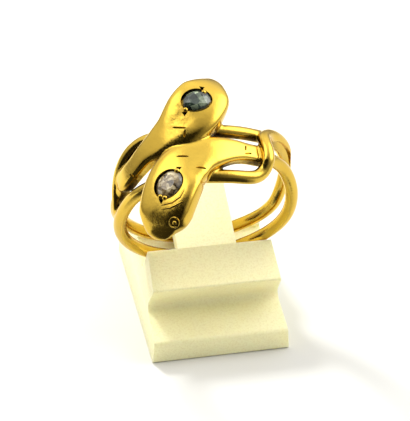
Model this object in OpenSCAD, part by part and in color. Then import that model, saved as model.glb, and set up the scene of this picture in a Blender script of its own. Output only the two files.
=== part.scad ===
// Finger ring of two gold snakes that wrap round the finger twice, standing in a moulded display stand.
// The finger goes through along +Y, tipped back by the slope of the stand's face. +Z is up.
// The origin is at the middle of the stand's underside.

/* [Finger ring] */
// Inside diameter of the ring
ring_inner_d = 17.5; // [15:0.1:20]
// Diameter of the gold wire
wire_d = 1.42; // [1.1:0.02:1.7]
// Distance between the two strands at the bottom of the ring, middle to middle
strand_pitch = 2.5; // [2:0.1:3.2]
// How far the split shank opens beside the heads, from the middle to a wire
shoulder_reach = 3.4; // [2.8:0.1:4]
// Turn of the ring in the stand, about the finger
ring_turn = -15; // [-40:1:40]
// Sideways place of the ring on the stand
ring_shift = -0.9; // [-1.5:0.1:0.5]

/* [Snake heads] */
// How far the front snout stands out from the middle, along the finger
front_reach = 8.25; // [7.5:0.1:10]
// How far the back snout stands out from the middle, along the finger
back_reach = 9.2; // [8:0.1:11]
// Greatest width of a head
head_w = 6.2; // [5.2:0.1:7]
// Thickness of a head at its stone
head_t = 2.5; // [2.1:0.1:3.2]
// Length of the round end of a snout
nose_len = 3; // [2:0.1:4]
// Depth of the engraved marks
engraving = 0.12; // [0.06:0.01:0.2]

/* [Stones] */
// Length of the front stone
front_stone_l = 3.2; // [2.2:0.1:3.6]
// Width of the front stone
front_stone_w = 2.8; // [2:0.1:3.4]
// Length of the back stone
back_stone_l = 3.1; // [2:0.1:3.4]
// Width of the back stone
back_stone_w = 2.6; // [1.8:0.1:3.2]
// Height of a stone's crown above its girdle
crown_h = 0.55; // [0.3:0.05:0.9]
// Depth of a stone below its girdle
pavilion_h = 0.8; // [0.4:0.05:1.1]
// Gap round a stone in its seat
seat_gap = 0.06; // [0.03:0.01:0.12]
// Diameter of the grains that hold a stone
grain_d = 0.6; // [0.4:0.05:0.8]

/* [Display stand] */
// Width of the stand at its underside
stand_w = 15.4; // [13:0.1:18]
// Length of the stand from front to back
stand_l = 25; // [20:0.5:32]
// Draft of the stand's sides, in degrees
stand_draft = 4; // [0:0.5:6]
// Height of the front step
step_h = 2.6; // [1.5:0.1:3.2]
// Height of the lip above the floor
lip_h = 7.6; // [6.8:0.1:9]
// How far the lip stands back from the front
lip_back = 2.65; // [1:0.05:4]
// Length of the sloped face
face_l = 5.05; // [4:0.05:6.5]
// Slope of the face, in degrees
face_slope = 28.3; // [15:0.1:40]
// Depth of the notch below the lip, from the front of the stand
notch_depth = 5.2; // [4:0.1:6]
// Height of the bottom of the notch
notch_h = 4.1; // [3.4:0.1:5]
// Width of the tongue that goes through the ring
tongue_w = 6.6; // [4:0.1:7]
// Sideways place of the tongue on the stand
tongue_shift = -0.3; // [-1:0.1:1]
// Length of the tongue beyond the sloped face
tongue_l = 9; // [7:0.1:12]
// Thickness of the tongue
tongue_t = 1.8; // [1.2:0.1:1.9]
// Height of the stand at its back
stand_back_h = 4; // [2:0.1:5]
// Rounding of the stand's two back corners
back_corner_r = 2.5; // [0.5:0.1:4]
// Gap between the ring and the slot that it stands in
slot_gap = 0.15; // [0.1:0.05:0.3]

/* [Hidden] */

// Sides of a section through a snake, and the longest step between two sections
section_sides = 14;
section_step = 0.62;
// A cut reaches this far past the surface that it opens
past = 1;

wire_r = wire_d / 2;
wire_ring_r = ring_inner_d / 2 + wire_r;
ring_outer_r = ring_inner_d / 2 + wire_d;

// Names of the columns of a route's rows: turn about the finger, place along the finger,
// distance from the finger's axis, half width, half thickness, and squareness of the section
TURN = 0;
ALONG = 1;
RADIUS = 2;
HALF_W = 3;
HALF_T = 4;
SQUARE = 5;
round_wire = 2;
flat_head = 3.8;

// Heads and necks, from the snout back. The columns are the turn in degrees, the place along the finger
// as a share of the snout's reach, and as shares of the head's thickness and width: the lift of the
// section's middle above the wire's, the width, and the thickness
front_head_table = [
    [-26.2, -0.965, 0.27, 0.66, 0.68],
    [-24.3, -0.85, 0.32, 0.80, 0.84],
    [-21, -0.71, 0.38, 0.91, 0.96],
    [-17, -0.53, 0.42, 0.97, 1.00],
    [-12.3, -0.35, 0.42, 0.97, 1.00],
    [-7, -0.19, 0.38, 0.92, 0.94],
    [0, -0.08, 0.33, 0.81, 0.86],
    [7, -0.01, 0.28, 0.68, 0.80],
    [16, 0.03, 0.22, 0.55, 0.72],
    [26, 0.05, 0.14, 0.42, 0.66],
    [36, 0.05, 0.06, 0.34, 0.62],
    [43, 0.045, 0.05, 0.335, 0.60],
    [47, 0.04, 0.04, 0.31, 0.58],
    [50, 0.04, 0.01, 0.24, 0.57]
];
back_head_table = [
    [22, 1.00, 0.26, 0.50, 0.64],
    [19.5, 0.89, 0.32, 0.67, 0.82],
    [15.5, 0.76, 0.38, 0.87, 0.94],
    [9.5, 0.61, 0.42, 0.97, 1.00],
    [3, 0.47, 0.40, 0.96, 0.98],
    [-6, 0.35, 0.34, 0.81, 0.90],
    [-16, 0.285, 0.26, 0.62, 0.80],
    [-26, 0.245, 0.18, 0.43, 0.74],
    [-36, 0.185, 0.12, 0.38, 0.68],
    [-44, 0.15, 0.10, 0.39, 0.66],
    [-49, 0.135, 0.09, 0.39, 0.64],
    [-52, 0.125, 0.07, 0.34, 0.62],
    [-54.5, 0.115, 0.02, 0.24, 0.57]
];

// Shanks, from the neck round the finger to the bend beside the heads. The columns are the turn in
// degrees, and the place along the finger as shares of half the pitch and of the shoulder's reach
front_shank_table = [
    [60, 0, 0.16],
    [75, 0, 0.13],
    [95, -0.35, 0],
    [120, -0.93, 0],
    [155, -1, 0],
    [195, -1, 0],
    [235, -1, 0],
    [270, -1, 0],
    [295, -1, 0],
    [315, -0.84, 0],
    [336, -0.45, -0.20],
    [355, 0, -0.50],
    [371, 0, -0.63],
    [384, 0, -0.69],
    [394, 0, -0.70]
];
back_shank_table = [
    [-62, 0.68, 0],
    [-76, 0.72, 0],
    [-96, 0.90, 0],
    [-120, 1, 0],
    [-155, 1, 0],
    [-195, 1, 0],
    [-228, 1, 0.04],
    [-246, 0.60, 0.50],
    [-264, 0, 0.98],
    [-282, 0, 1.02],
    [-300, 0, 0.96],
    [-318, 0, 0.90],
    [-342, 0, 0.93],
    [-365, 0, 1.00],
    [-380, 0, 1.18]
];

// Tails, laid across the neck and ending on the other snake's wire. The columns are the turn in degrees,
// the place along the finger as a share of the shoulder's reach, and the lift and the thickness as shares
// of the wire
front_tail_table = [
    [400.5, -0.64, 0.08, 1],
    [404.5, -0.48, 0.36, 1],
    [406, -0.20, 0.84, 1],
    [406.5, 0.12, 0.92, 1],
    [407, 0.42, 0.80, 1],
    [409, 0.70, 0.60, 1],
    [414, 0.90, 0.48, 0.98],
    [421, 1.00, 0.43, 0.92],
    [430, 1.05, 0.40, 0.82],
    [440, 1.05, 0.38, 0.70],
    [451, 1.02, 0.28, 0.55],
    [461, 0.99, 0.12, 0.40]
];
back_tail_table = [
    [-390, 1.22, 0.10, 1],
    [-399, 1.13, 0.20, 1],
    [-407, 0.94, 0.28, 0.96],
    [-413, 0.72, 0.33, 0.88],
    [-419, 0.40, 0.35, 0.78],
    [-424, 0.08, 0.33, 0.68],
    [-429, -0.16, 0.28, 0.58],
    [-435, -0.32, 0.18, 0.45]
];

function head_rows(table, reach) = [
    for (row = table) [
        row[0], row[1] * reach, wire_ring_r + row[2] * head_t,
        row[3] * head_w / 2, row[4] * head_t / 2, flat_head
    ]
];

function shank_rows(table) = [
    for (row = table) [
        row[0], row[1] * strand_pitch / 2 + row[2] * shoulder_reach, wire_ring_r,
        wire_r, wire_r, round_wire
    ]
];

function tail_rows(table) = [
    for (row = table) [
        row[0], row[1] * shoulder_reach, wire_ring_r + row[2] * wire_d,
        row[3] * wire_r, row[3] * wire_r, round_wire
    ]
];

front_route = concat(
    head_rows(front_head_table, front_reach),
    shank_rows(front_shank_table),
    tail_rows(front_tail_table)
);
back_route = concat(
    head_rows(back_head_table, back_reach),
    shank_rows(back_shank_table),
    tail_rows(back_tail_table)
);

// Place of a row round the finger, with the finger along Y and no turn at the top
function outward(turn) = [sin(turn), 0, cos(turn)];
function place(row) = outward(row[TURN]) * row[RADIUS] + [0, row[ALONG], 0];
function unit(v) = v / norm(v);

// Slope of every column at a row of a route, for each millimetre between rows
function slope(rows, i) =
    let (
        before = max(i - 1, 0),
        after = min(i + 1, len(rows) - 1),
        run = norm(place(rows[after]) - place(rows[i])) + norm(place(rows[i]) - place(rows[before]))
    )
    (rows[after] - rows[before]) / run;

// A row between two rows, on the cubic that has their slopes
function between(rows, i, t) =
    let (
        run = norm(place(rows[i + 1]) - place(rows[i])),
        t2 = t * t,
        t3 = t2 * t
    )
    rows[i] * (2 * t3 - 3 * t2 + 1)
    + slope(rows, i) * run * (t3 - 2 * t2 + t)
    + rows[i + 1] * (3 * t2 - 2 * t3)
    + slope(rows, i + 1) * run * (t3 - t2);

// A route's rows, filled in so that no two are further apart than a step, and closer at the snout
function fine_rows(rows) = concat(
    [
        for (i = [0:len(rows) - 2])
            let (
                run = norm(place(rows[i + 1]) - place(rows[i])),
                count = i == 0 ? 5 : max(1, ceil(run / section_step))
            )
            for (k = [0:count - 1])
                between(rows, i, i == 0 ? pow((k + 0.35) / count, 2) : k / count)
    ],
    [rows[len(rows) - 1]]
);

// Length of a route up to each of its rows
function lengths(rows, i = 0, sum = 0) =
    let (step = i + 1 < len(rows) ? norm(place(rows[i + 1]) - place(rows[i])) : 0)
    i == len(rows) ? [] : concat([sum], lengths(rows, i + 1, sum + step));

// Share of the full section that a snout has at a distance from its tip
function snout(distance) =
    distance >= nose_len ? 1 : sqrt(1 - pow(1 - (distance + 0.02) / (nose_len + 0.02), 2));

// Squareness of a row's section, which grows round towards the tip of the snout
function squareness(row, size) = round_wire + (row[SQUARE] - round_wire) * size * size;

function signed_power(v, p) = sign(v) * pow(abs(v), p);

// Corner points of the section at one row
function section(rows, i, size) =
    let (
        before = place(rows[max(i - 1, 0)]),
        after = place(rows[min(i + 1, len(rows) - 1)]),
        ahead = unit(after - before),
        side = unit(cross(ahead, outward(rows[i][TURN]))),
        up = cross(side, ahead),
        power = 2 / squareness(rows[i], size)
    )
    [
        for (k = [0:section_sides - 1])
            let (angle = 360 * k / section_sides)
            place(rows[i])
            + side * signed_power(cos(angle), power) * rows[i][HALF_W] * size
            + up * signed_power(sin(angle), power) * rows[i][HALF_T] * size
    ];

// Row of a route between two of its rows, with the place as a number of rows
function row_at(rows, at) =
    let (i = min(floor(at), len(rows) - 2))
    between(rows, i, at - i);

// Point on the outer skin of a snake: the place along the route as a number of rows, the place across
// the section from -1 at its left edge to 1 at its right, and the height above the skin
function skin(rows, at, aside, height = 0) =
    let (
        row = row_at(rows, at),
        ahead = unit(place(row_at(rows, at + 0.05)) - place(row_at(rows, at - 0.05))),
        side = unit(cross(ahead, outward(row[TURN]))),
        up = cross(side, ahead),
        size = snout(norm(place(row) - place(rows[0]))),
        square = squareness(row, size),
        rise = pow(1 - pow(abs(aside), square), 1 / square)
    )
    place(row)
    + (side * aside * row[HALF_W] + up * rise * row[HALF_T]) * size
    + outward(row[TURN]) * height;

// Body of one snake from snout to tail
module snake(route) {
    rows = fine_rows(route);
    run = lengths(rows);
    points = [for (i = [0:len(rows) - 1]) each section(rows, i, snout(run[i]))];
    walls = [
        for (i = [0:len(rows) - 2])
            for (k = [0:section_sides - 1])
                let (
                    a = i * section_sides + k,
                    b = i * section_sides + (k + 1) % section_sides
                )
                each [[a, b, b + section_sides], [a, b + section_sides, a + section_sides]]
    ];
    first = [for (k = [section_sides - 1:-1:0]) k];
    last = [for (k = [0:section_sides - 1]) (len(rows) - 1) * section_sides + k];
    polyhedron(points, concat([first], walls, [last]), convexity = 8);
}

// Stones: turn in degrees, place along the finger, direction of the long side, length and width
front_stone_seat = [-13, -0.37 * front_reach, 50, front_stone_l, front_stone_w];
back_stone_seat = [9, 0.63 * back_reach, 8, back_stone_l, back_stone_w];
// A girdle lies this far under the top of the head, and the head's top this far from the axis
girdle_drop = 0.32;
head_top_r = wire_ring_r + 0.92 * head_t;
girdle_r = head_top_r - girdle_drop;

// Puts the children on the ring: turn in degrees, place along the finger, distance from the axis,
// with +X round the finger and +Z outwards
module on_head(turn, along, radius, spin = 0) {
    rotate([0, turn, 0]) translate([0, along, radius]) rotate(spin) children();
}

// Flat oval with corners
module oval(length, width, corners, turned = 0) {
    scale([length, width]) rotate(turned) circle(d = 1, $fn = corners);
}

// Cut stone with a table, a ring of crown facets and a shallow pavilion
module stone(seat) {
    girdle_t = 0.12;
    table_share = 0.55;
    plate = 0.01;
    corners = 8;
    on_head(seat[0], seat[1], girdle_r, seat[2]) hull() {
        translate([0, 0, crown_h - plate]) linear_extrude(plate)
            oval(seat[3] * table_share, seat[4] * table_share, corners, 180 / corners);
        translate([0, 0, -girdle_t / 2]) linear_extrude(girdle_t)
            oval(seat[3], seat[4], 2 * corners);
        translate([0, 0, -pavilion_h]) linear_extrude(plate)
            oval(seat[3] * table_share, seat[4] * table_share, corners);
    }
}

// Pocket for a stone, open at the top of the head
seat_corners = 24;
module seat_pocket(seat) {
    on_head(seat[0], seat[1], girdle_r - pavilion_h - seat_gap, seat[2])
        linear_extrude(pavilion_h + girdle_drop + past)
            oval(seat[3] + 2 * seat_gap, seat[4] + 2 * seat_gap, seat_corners);
}

// Grains that hold the stones, and the three-cornered cuts beside them. The columns are the place along
// the snake's route as a number of rows, and the place across the section
front_grains = [[3.05, -0.12], [3.02, 0.06], [4.77, 0.04]];
back_grains = [[2.4, 0.04], [3.8, 0.16]];
front_cuts = [[4.97, 0.04], [2.82, -0.03]];
back_cuts = [[4.02, 0.09], [2.17, 0.18]];

module grains(table, route) {
    for (row = table)
        translate(skin(route, row[0], row[1], -0.15 * grain_d)) sphere(d = grain_d, $fn = 8);
}

module grain_cuts(table, route) {
    for (row = table)
        translate(skin(route, row[0], row[1])) rotate([0, row_at(route, row[0])[TURN], 0])
            translate([0, 0, -1.5 * engraving]) cylinder(d = grain_d, h = past, $fn = 3);
}

// Engraved marks on the heads and necks. The columns are the place along the snake's route as a number
// of rows and the place across the section at one end, and the same at the other end
front_marks = [
    [2.55, 0.05, 3.2, 0.6],
    [2.32, 0.05, 2.97, 0.75],
    [5.47, -0.42, 5.97, -0.1],
    [5.77, 0.49, 6.35, 0.82],
    [9.7, -0.4, 9.6, 0.17],
    [9.52, 0.51, 10.05, 0.37]
];
back_marks = [
    [4.92, 0.04, 4.5, -0.38],
    [4.6, -0.39, 4.85, -0.65],
    [8.5, -0.54, 8.37, -0.9]
];
mark_steps = 3;

module marks(table, route) {
    for (row = table, k = [0:mark_steps - 1])
        hull() for (t = [k, k + 1] / mark_steps)
            translate(skin(route, row[0] * (1 - t) + row[2] * t, row[1] * (1 - t) + row[3] * t))
                sphere(r = engraving, $fn = 6);
}

// Where the ring stands: its sloped slot starts at the top edge of the sloped face
face_top = [lip_back + face_l * cos(face_slope), lip_h + face_l * sin(face_slope)];
slot_w = strand_pitch + wire_d + 2 * slot_gap;
ring_depth = tongue_t + slot_gap + ring_outer_r - sqrt(
    pow(ring_inner_d / 2, 2) - pow(tongue_w / 2 + abs(tongue_shift - ring_shift), 2)
);
slot_depth = ring_depth + slot_gap;
ring_rise = ring_outer_r - ring_depth;

// A point of the stand's side view, from its distance along the face past the top edge and above it
function by_face(along, above) = face_top + [
    along * cos(face_slope) - above * sin(face_slope),
    along * sin(face_slope) + above * cos(face_slope)
];

ring_middle = by_face(slot_w / 2, ring_rise);

module in_slot() {
    translate([ring_shift, ring_middle[0] - stand_l / 2, ring_middle[1]])
        rotate([face_slope, 0, 0]) rotate([0, ring_turn, 0]) children();
}

module snake_ring() {
    color("goldenrod") in_slot() difference() {
        union() {
            snake(front_route);
            snake(back_route);
            grains(front_grains, front_route);
            grains(back_grains, back_route);
        }
        seat_pocket(front_stone_seat);
        seat_pocket(back_stone_seat);
        grain_cuts(front_cuts, front_route);
        grain_cuts(back_cuts, back_route);
        marks(front_marks, front_route);
        marks(back_marks, back_route);
    }
}

module front_stone() {
    color("lightgray") in_slot() stone(front_stone_seat);
}

module back_stone() {
    color("darkslategray") in_slot() stone(back_stone_seat);
}

// Points of a corner that is rounded with a few short sides
function rounded(before, corner, after, radius, sides = 5) =
    let (
        a = unit(before - corner),
        b = unit(after - corner),
        half = acos(a * b) / 2,
        reach = radius / tan(half),
        middle = corner + unit(a + b) * radius / sin(half),
        from = corner + a * reach - middle,
        to = corner + b * reach - middle
    )
    [
        for (k = [0:sides])
            let (v = from * (1 - k / sides) + to * k / sides)
            middle + unit(v) * radius
    ];

// Side view of the stand, from the front. The columns are the distance back, the height, and the rounding
rear_drop = slot_depth - 1.1 * wire_d;
stand_profile = [
    [0, 0, 0.3],
    [0, step_h, 0.5],
    [notch_depth, notch_h, 0.9],
    [lip_back, lip_h, 0.2],
    [face_top[0], face_top[1], 0],
    [by_face(0, -slot_depth)[0], by_face(0, -slot_depth)[1], 0],
    [by_face(slot_w, -slot_depth)[0], by_face(slot_w, -slot_depth)[1], 0],
    [by_face(slot_w, -rear_drop)[0], by_face(slot_w, -rear_drop)[1], 0.4],
    [stand_l, stand_back_h, 0.8],
    [stand_l, 0, 0.3]
];

function profile_points(rows) = [
    for (i = [0:len(rows) - 1])
        let (
            n = len(rows),
            row = rows[i],
            before = rows[(i + n - 1) % n],
            after = rows[(i + 1) % n]
        )
        each row[2] == 0 ? [[row[0], row[1]]]
            : rounded([before[0], before[1]], [row[0], row[1]], [after[0], after[1]], row[2])
];

// Extrudes a side view of the stand across its width
module across(width) {
    translate([-width / 2, -stand_l / 2, 0]) rotate([90, 0, 90]) linear_extrude(width) children();
}

module display_stand() {
    height = face_top[1] + past;
    lean_in = height * tan(stand_draft);
    floor_corners = [
        [-stand_w / 2, -stand_l / 2, 0],
        [stand_w / 2, -stand_l / 2, 0],
        [stand_w / 2, stand_l / 2, back_corner_r],
        [-stand_w / 2, stand_l / 2, back_corner_r]
    ];
    color("ivory") {
        intersection() {
            across(stand_w) polygon(profile_points(stand_profile));
            linear_extrude(height) polygon(profile_points(floor_corners));
            translate([0, stand_l, 0]) rotate([90, 0, 0]) linear_extrude(2 * stand_l)
                polygon([
                    [-stand_w / 2, 0],
                    [stand_w / 2, 0],
                    [stand_w / 2 - lean_in, height],
                    [-stand_w / 2 + lean_in, height]
                ]);
        }
        translate([tongue_shift, 0, 0]) across(tongue_w) polygon([
            by_face(-tongue_t, 0),
            by_face(tongue_l, 0),
            by_face(tongue_l, -tongue_t / 2),
            by_face(tongue_l - tongue_t / 2, -tongue_t),
            by_face(-tongue_t, -tongue_t)
        ]);
    }
}

snake_ring();
front_stone();
back_stone();
display_stand();
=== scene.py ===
"""Looks of an antique gold ring of two wrapped snakes that stands in a moulded display stand."""

import logging
import math
from collections.abc import Callable, Iterator
from contextlib import contextmanager
from dataclasses import dataclass
from enum import Enum
from functools import partial

import bmesh
import bpy
import numpy as np
from bpy.types import ID, Material, Mesh, Node, NodeTree, Object, World
from mathutils import Matrix, Vector


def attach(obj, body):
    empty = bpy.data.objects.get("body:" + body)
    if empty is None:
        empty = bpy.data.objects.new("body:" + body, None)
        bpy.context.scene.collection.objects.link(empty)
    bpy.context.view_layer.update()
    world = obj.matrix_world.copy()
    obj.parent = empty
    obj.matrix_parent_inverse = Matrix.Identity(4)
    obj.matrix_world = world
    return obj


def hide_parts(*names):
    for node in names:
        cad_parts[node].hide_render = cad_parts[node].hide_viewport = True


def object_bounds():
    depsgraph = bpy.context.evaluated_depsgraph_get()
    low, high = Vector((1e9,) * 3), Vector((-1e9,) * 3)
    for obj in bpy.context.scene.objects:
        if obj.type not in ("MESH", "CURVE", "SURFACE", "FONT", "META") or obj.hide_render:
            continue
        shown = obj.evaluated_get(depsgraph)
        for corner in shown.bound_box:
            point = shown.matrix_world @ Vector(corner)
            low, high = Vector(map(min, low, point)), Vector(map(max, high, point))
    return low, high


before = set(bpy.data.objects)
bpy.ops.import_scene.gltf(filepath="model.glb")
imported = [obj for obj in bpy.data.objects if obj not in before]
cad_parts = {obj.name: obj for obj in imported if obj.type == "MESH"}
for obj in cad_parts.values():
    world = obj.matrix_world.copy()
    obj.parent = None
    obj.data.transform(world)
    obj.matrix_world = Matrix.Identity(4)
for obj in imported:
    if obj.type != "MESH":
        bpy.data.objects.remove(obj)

MM = 0.001
WELD = 1e-4
ROOT = "root"
CAD_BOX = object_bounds()
log = logging.getLogger("snake_ring")


def linear(hex_colour: str, alpha: float = 1.0) -> tuple[float, float, float, float]:
    """Turn an sRGB colour into the linear one that a shader's socket takes.

    Args:
        hex_colour: The colour as six hex digits, with or without a leading #.
        alpha: The fourth value.

    Returns:
        Linear red, green, blue and alpha.
    """
    digits = hex_colour.lstrip("#")
    channels = []
    for start in (0, 2, 4):
        value = int(digits[start:start + 2], 16) / 255
        channels.append(value / 12.92 if value <= 0.04045 else ((value + 0.055) / 1.055) ** 2.4)
    return (channels[0], channels[1], channels[2], alpha)


def feed(node: Node, inputs: dict) -> None:
    """Set or link a node's inputs.

    Args:
        node: The node.
        inputs: Input socket, by name or number, to its value, to the output socket that feeds it, or to
            the node whose first output feeds it.
    """
    for key, given in inputs.items():
        source = given.outputs[0] if isinstance(given, Node) else given
        if isinstance(source, bpy.types.NodeSocket):
            node.id_data.links.new(source, node.inputs[key])
        else:
            node.inputs[key].default_value = source


def add_node(tree: NodeTree, kind: str, inputs: dict | None = None,
             **settings: object) -> Node:
    """Add a node with its settings, its sockets' values and its links.

    Args:
        tree: The tree that the node goes into.
        kind: The node's type name.
        inputs: What its inputs hold, as feed() takes it.
        **settings: Attributes of the node itself.

    Returns:
        The new node.
    """
    node = tree.nodes.new(kind)
    for name, value in settings.items():
        setattr(node, name, value)
    feed(node, inputs or {})
    return node


def new_material(name: str) -> tuple[Material, Node, Callable[..., Node]]:
    """Make an empty node material with its shader.

    Args:
        name: The material's name.

    Returns:
        The material, its Principled shader node, and add_node for its tree.
    """
    material = bpy.data.materials.new(name)
    material.use_nodes = True
    return material, material.node_tree.nodes["Principled BSDF"], partial(add_node, material.node_tree)


@dataclass(frozen=True)
class PolishedGold:
    """Antique 18 carat yellow gold, cast, soldered and polished, worn by long wear.

    It gives the eye soft mirror reflections with strong contrasts, fine wear scratches, and dark brown
    where rays from the skin are blocked: in joints, seats and engraved lines. That dark brown is partly
    tarnish where polish never reaches and partly painted shade.
    """

    bright: str = "#E0BE52"
    deep: str = "#D0A83C"
    tarnish: str = "#3A2508"
    tarnish_and_shade_range: tuple[float, float] = (0.16, 0.58)
    roughness: float = 0.1
    scratched: float = 0.1
    tarnish_roughness: float = 0.5
    scratch_pitch: float = 0.16 * MM
    scratch_depth: float = 0.012 * MM
    dent_pitch: float = 1.7 * MM
    dent_depth: float = 0.05 * MM

    def build(self) -> Material:
        """Build the material.

        Returns:
            The material.
        """
        material, shader, add = new_material("polished_yellow_gold")
        place = add("ShaderNodeTexCoord").outputs["Object"]
        cloud = add("ShaderNodeTexNoise", {"Vector": place, "Scale": 0.35 / self.dent_pitch, "Detail": 3.0})
        tone = add("ShaderNodeMix", {"Factor": cloud, 6: linear(self.bright), 7: linear(self.deep)},
                   data_type="RGBA")
        # The tarnish mask counts blocked rays, so its dark brown is partly tarnish in the joints and partly
        # painted shade.
        cavity = add("ShaderNodeAttribute", attribute_name="tarnish").outputs["Fac"]
        low, high = self.tarnish_and_shade_range
        grime_and_shade = add("ShaderNodeMapRange", {"Value": cavity, "From Min": low, "From Max": high},
                    interpolation_type="SMOOTHSTEP")
        colour = add("ShaderNodeMix", {"Factor": grime_and_shade, 6: tone.outputs[2], 7: linear(self.tarnish)},
                     data_type="RGBA")
        stretched = add("ShaderNodeMapping",
                        {"Vector": place, "Rotation": (0.4, 0.9, 0.7), "Scale": (1.0, 0.08, 1.0)})
        scratches = add("ShaderNodeTexNoise",
                        {"Vector": stretched, "Scale": 1.0 / self.scratch_pitch, "Detail": 2.0})
        dents = add("ShaderNodeTexNoise", {"Vector": place, "Scale": 1.0 / self.dent_pitch, "Detail": 2.0})
        wear = add("ShaderNodeMapRange",
                   {"Value": scratches, "From Min": 0.35, "From Max": 0.7,
                    "To Min": self.roughness, "To Max": self.roughness + self.scratched})
        rough = add("ShaderNodeMix", {"Factor": grime_and_shade, 2: wear, 3: self.tarnish_roughness}, data_type="FLOAT")
        soft = add("ShaderNodeBump", {"Height": dents, "Strength": 0.6, "Distance": self.dent_depth})
        fine = add("ShaderNodeBump",
                   {"Height": scratches, "Normal": soft, "Strength": 0.4, "Distance": self.scratch_depth})
        feed(shader, {"Base Color": colour.outputs[2], "Metallic": 1.0, "Roughness": rough, "Normal": fine})
        return material


@dataclass(frozen=True)
class CutGem:
    """Old cut stone, faceted and polished by hand, in a closed seat.

    It gives the eye a glassy skin over broken patches of light and dark, drawn as cells of different tone:
    painted reflections of the back facets, and the flaws inside. Painted shade darkens it towards the girdle.
    """

    name: str
    dark: str
    middle: str
    light: str
    patch: float
    cloudiness: float
    # Painted shade that darkens the stone towards its girdle.
    rim: str = "#0B0D0C"
    girdle_shade_start: float = 0.62
    seed: float = 0.0

    def build(self) -> Material:
        """Build the material.

        Returns:
            The material.
        """
        material, shader, add = new_material(self.name)
        moved = add("ShaderNodeMapping",
                    {"Vector": add("ShaderNodeTexCoord").outputs["Object"],
                     "Location": (self.seed, 0.0, 0.0), "Rotation": (0.5, 0.2, 0.9)})
        # The cells and clouds are painted reflections of the back facets, mixed with the flaws inside.
        cells = add("ShaderNodeTexVoronoi", {"Vector": moved, "Scale": 1.0 / self.patch}, feature="F1")
        tones = add("ShaderNodeSeparateColor", {"Color": cells.outputs["Color"]})
        clouds = add("ShaderNodeTexNoise",
                     {"Vector": moved, "Scale": 1.6 / self.patch, "Detail": 4.0, "Roughness": 0.65})
        blend = add("ShaderNodeMix", {"Factor": self.cloudiness, 2: tones.outputs["Red"], 3: clouds},
                    data_type="FLOAT")
        ramp = add("ShaderNodeValToRGB", {"Fac": blend})
        stops = ramp.color_ramp.elements
        stops.new(1.0)
        for stop, place, colour in zip(stops, (0.22, 0.5, 0.8), (self.dark, self.middle, self.light)):
            stop.position, stop.color = place, linear(colour)
        # The rim colour is painted shade, darker towards the girdle of the stone in its closed seat.
        girdle = add("ShaderNodeAttribute", attribute_name="girdle").outputs["Fac"]
        edge = add("ShaderNodeMapRange",
                   {"Value": girdle, "From Min": self.girdle_shade_start, "From Max": 1.0, "To Max": 0.95},
                   interpolation_type="SMOOTHSTEP")
        body = add("ShaderNodeMix", {"Factor": edge, 6: ramp, 7: linear(self.rim)}, data_type="RGBA")
        feed(shader, {"Base Color": body.outputs[2], "Roughness": 0.08, "IOR": 1.77})
        return material


@dataclass(frozen=True)
class MouldedPlastic:
    """Cream polystyrene, injection moulded, slightly see-through at its edges.

    It gives the eye a soft warm glow, a faint satin shine and the fine speckle of a spark-eroded mould.
    """

    cream: str = "#F9F3C2"
    speck: str = "#EADFA6"
    glow: tuple[float, float, float] = (1.0, 0.8, 0.4)
    glow_share: float = 0.35
    glow_reach: float = 1.6 * MM
    grain: float = 0.22 * MM
    grain_depth: float = 0.03 * MM
    roughness: float = 0.42

    def build(self) -> Material:
        """Build the material.

        Returns:
            The material.
        """
        material, shader, add = new_material("moulded_cream_polystyrene")
        grain = add("ShaderNodeTexNoise",
                    {"Vector": add("ShaderNodeTexCoord").outputs["Object"],
                     "Scale": 1.0 / self.grain, "Detail": 3.0, "Roughness": 0.6})
        specks = add("ShaderNodeMapRange",
                     {"Value": grain, "From Min": 0.45, "From Max": 0.75, "To Max": 0.8})
        colour = add("ShaderNodeMix", {"Factor": specks, 6: linear(self.cream), 7: linear(self.speck)},
                     data_type="RGBA")
        bump = add("ShaderNodeBump", {"Height": grain, "Strength": 0.5, "Distance": self.grain_depth})
        feed(shader, {
            "Base Color": colour.outputs[2],
            "Roughness": self.roughness,
            "IOR": 1.59,
            "Subsurface Weight": self.glow_share,
            "Subsurface Radius": self.glow,
            "Subsurface Scale": self.glow_reach,
            "Normal": bump,
        })
        return material


class Column(Enum):
    """Columns of a route's rows, with lengths in millimetres and turns in degrees."""

    TURN = 0
    ALONG = 1
    RADIUS = 2
    HALF_W = 3
    HALF_T = 4
    SQUARE = 5


TURN, ALONG, RADIUS, HALF_W, HALF_T, SQUARE = (column.value for column in Column)


@dataclass(frozen=True)
class RingSizes:
    """Sizes of the finger ring, in millimetres and degrees."""

    inner_d: float = 17.5
    wire_d: float = 1.42
    strand_pitch: float = 2.5
    shoulder_reach: float = 3.4
    turn: float = -15.0
    shift: float = -0.9
    front_reach: float = 8.25
    back_reach: float = 9.2
    head_w: float = 6.2
    head_t: float = 2.5
    nose_len: float = 3.0
    crown_h: float = 0.55
    pavilion_h: float = 0.8
    seat_gap: float = 0.06
    grain_d: float = 0.6
    girdle_drop: float = 0.32

    @property
    def wire_ring_r(self) -> float:
        """Distance from the finger's axis to the middle of a wire."""
        return (self.inner_d + self.wire_d) / 2

    @property
    def girdle_r(self) -> float:
        """Distance from the finger's axis to a stone's girdle."""
        return self.wire_ring_r + 0.92 * self.head_t - self.girdle_drop


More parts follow.
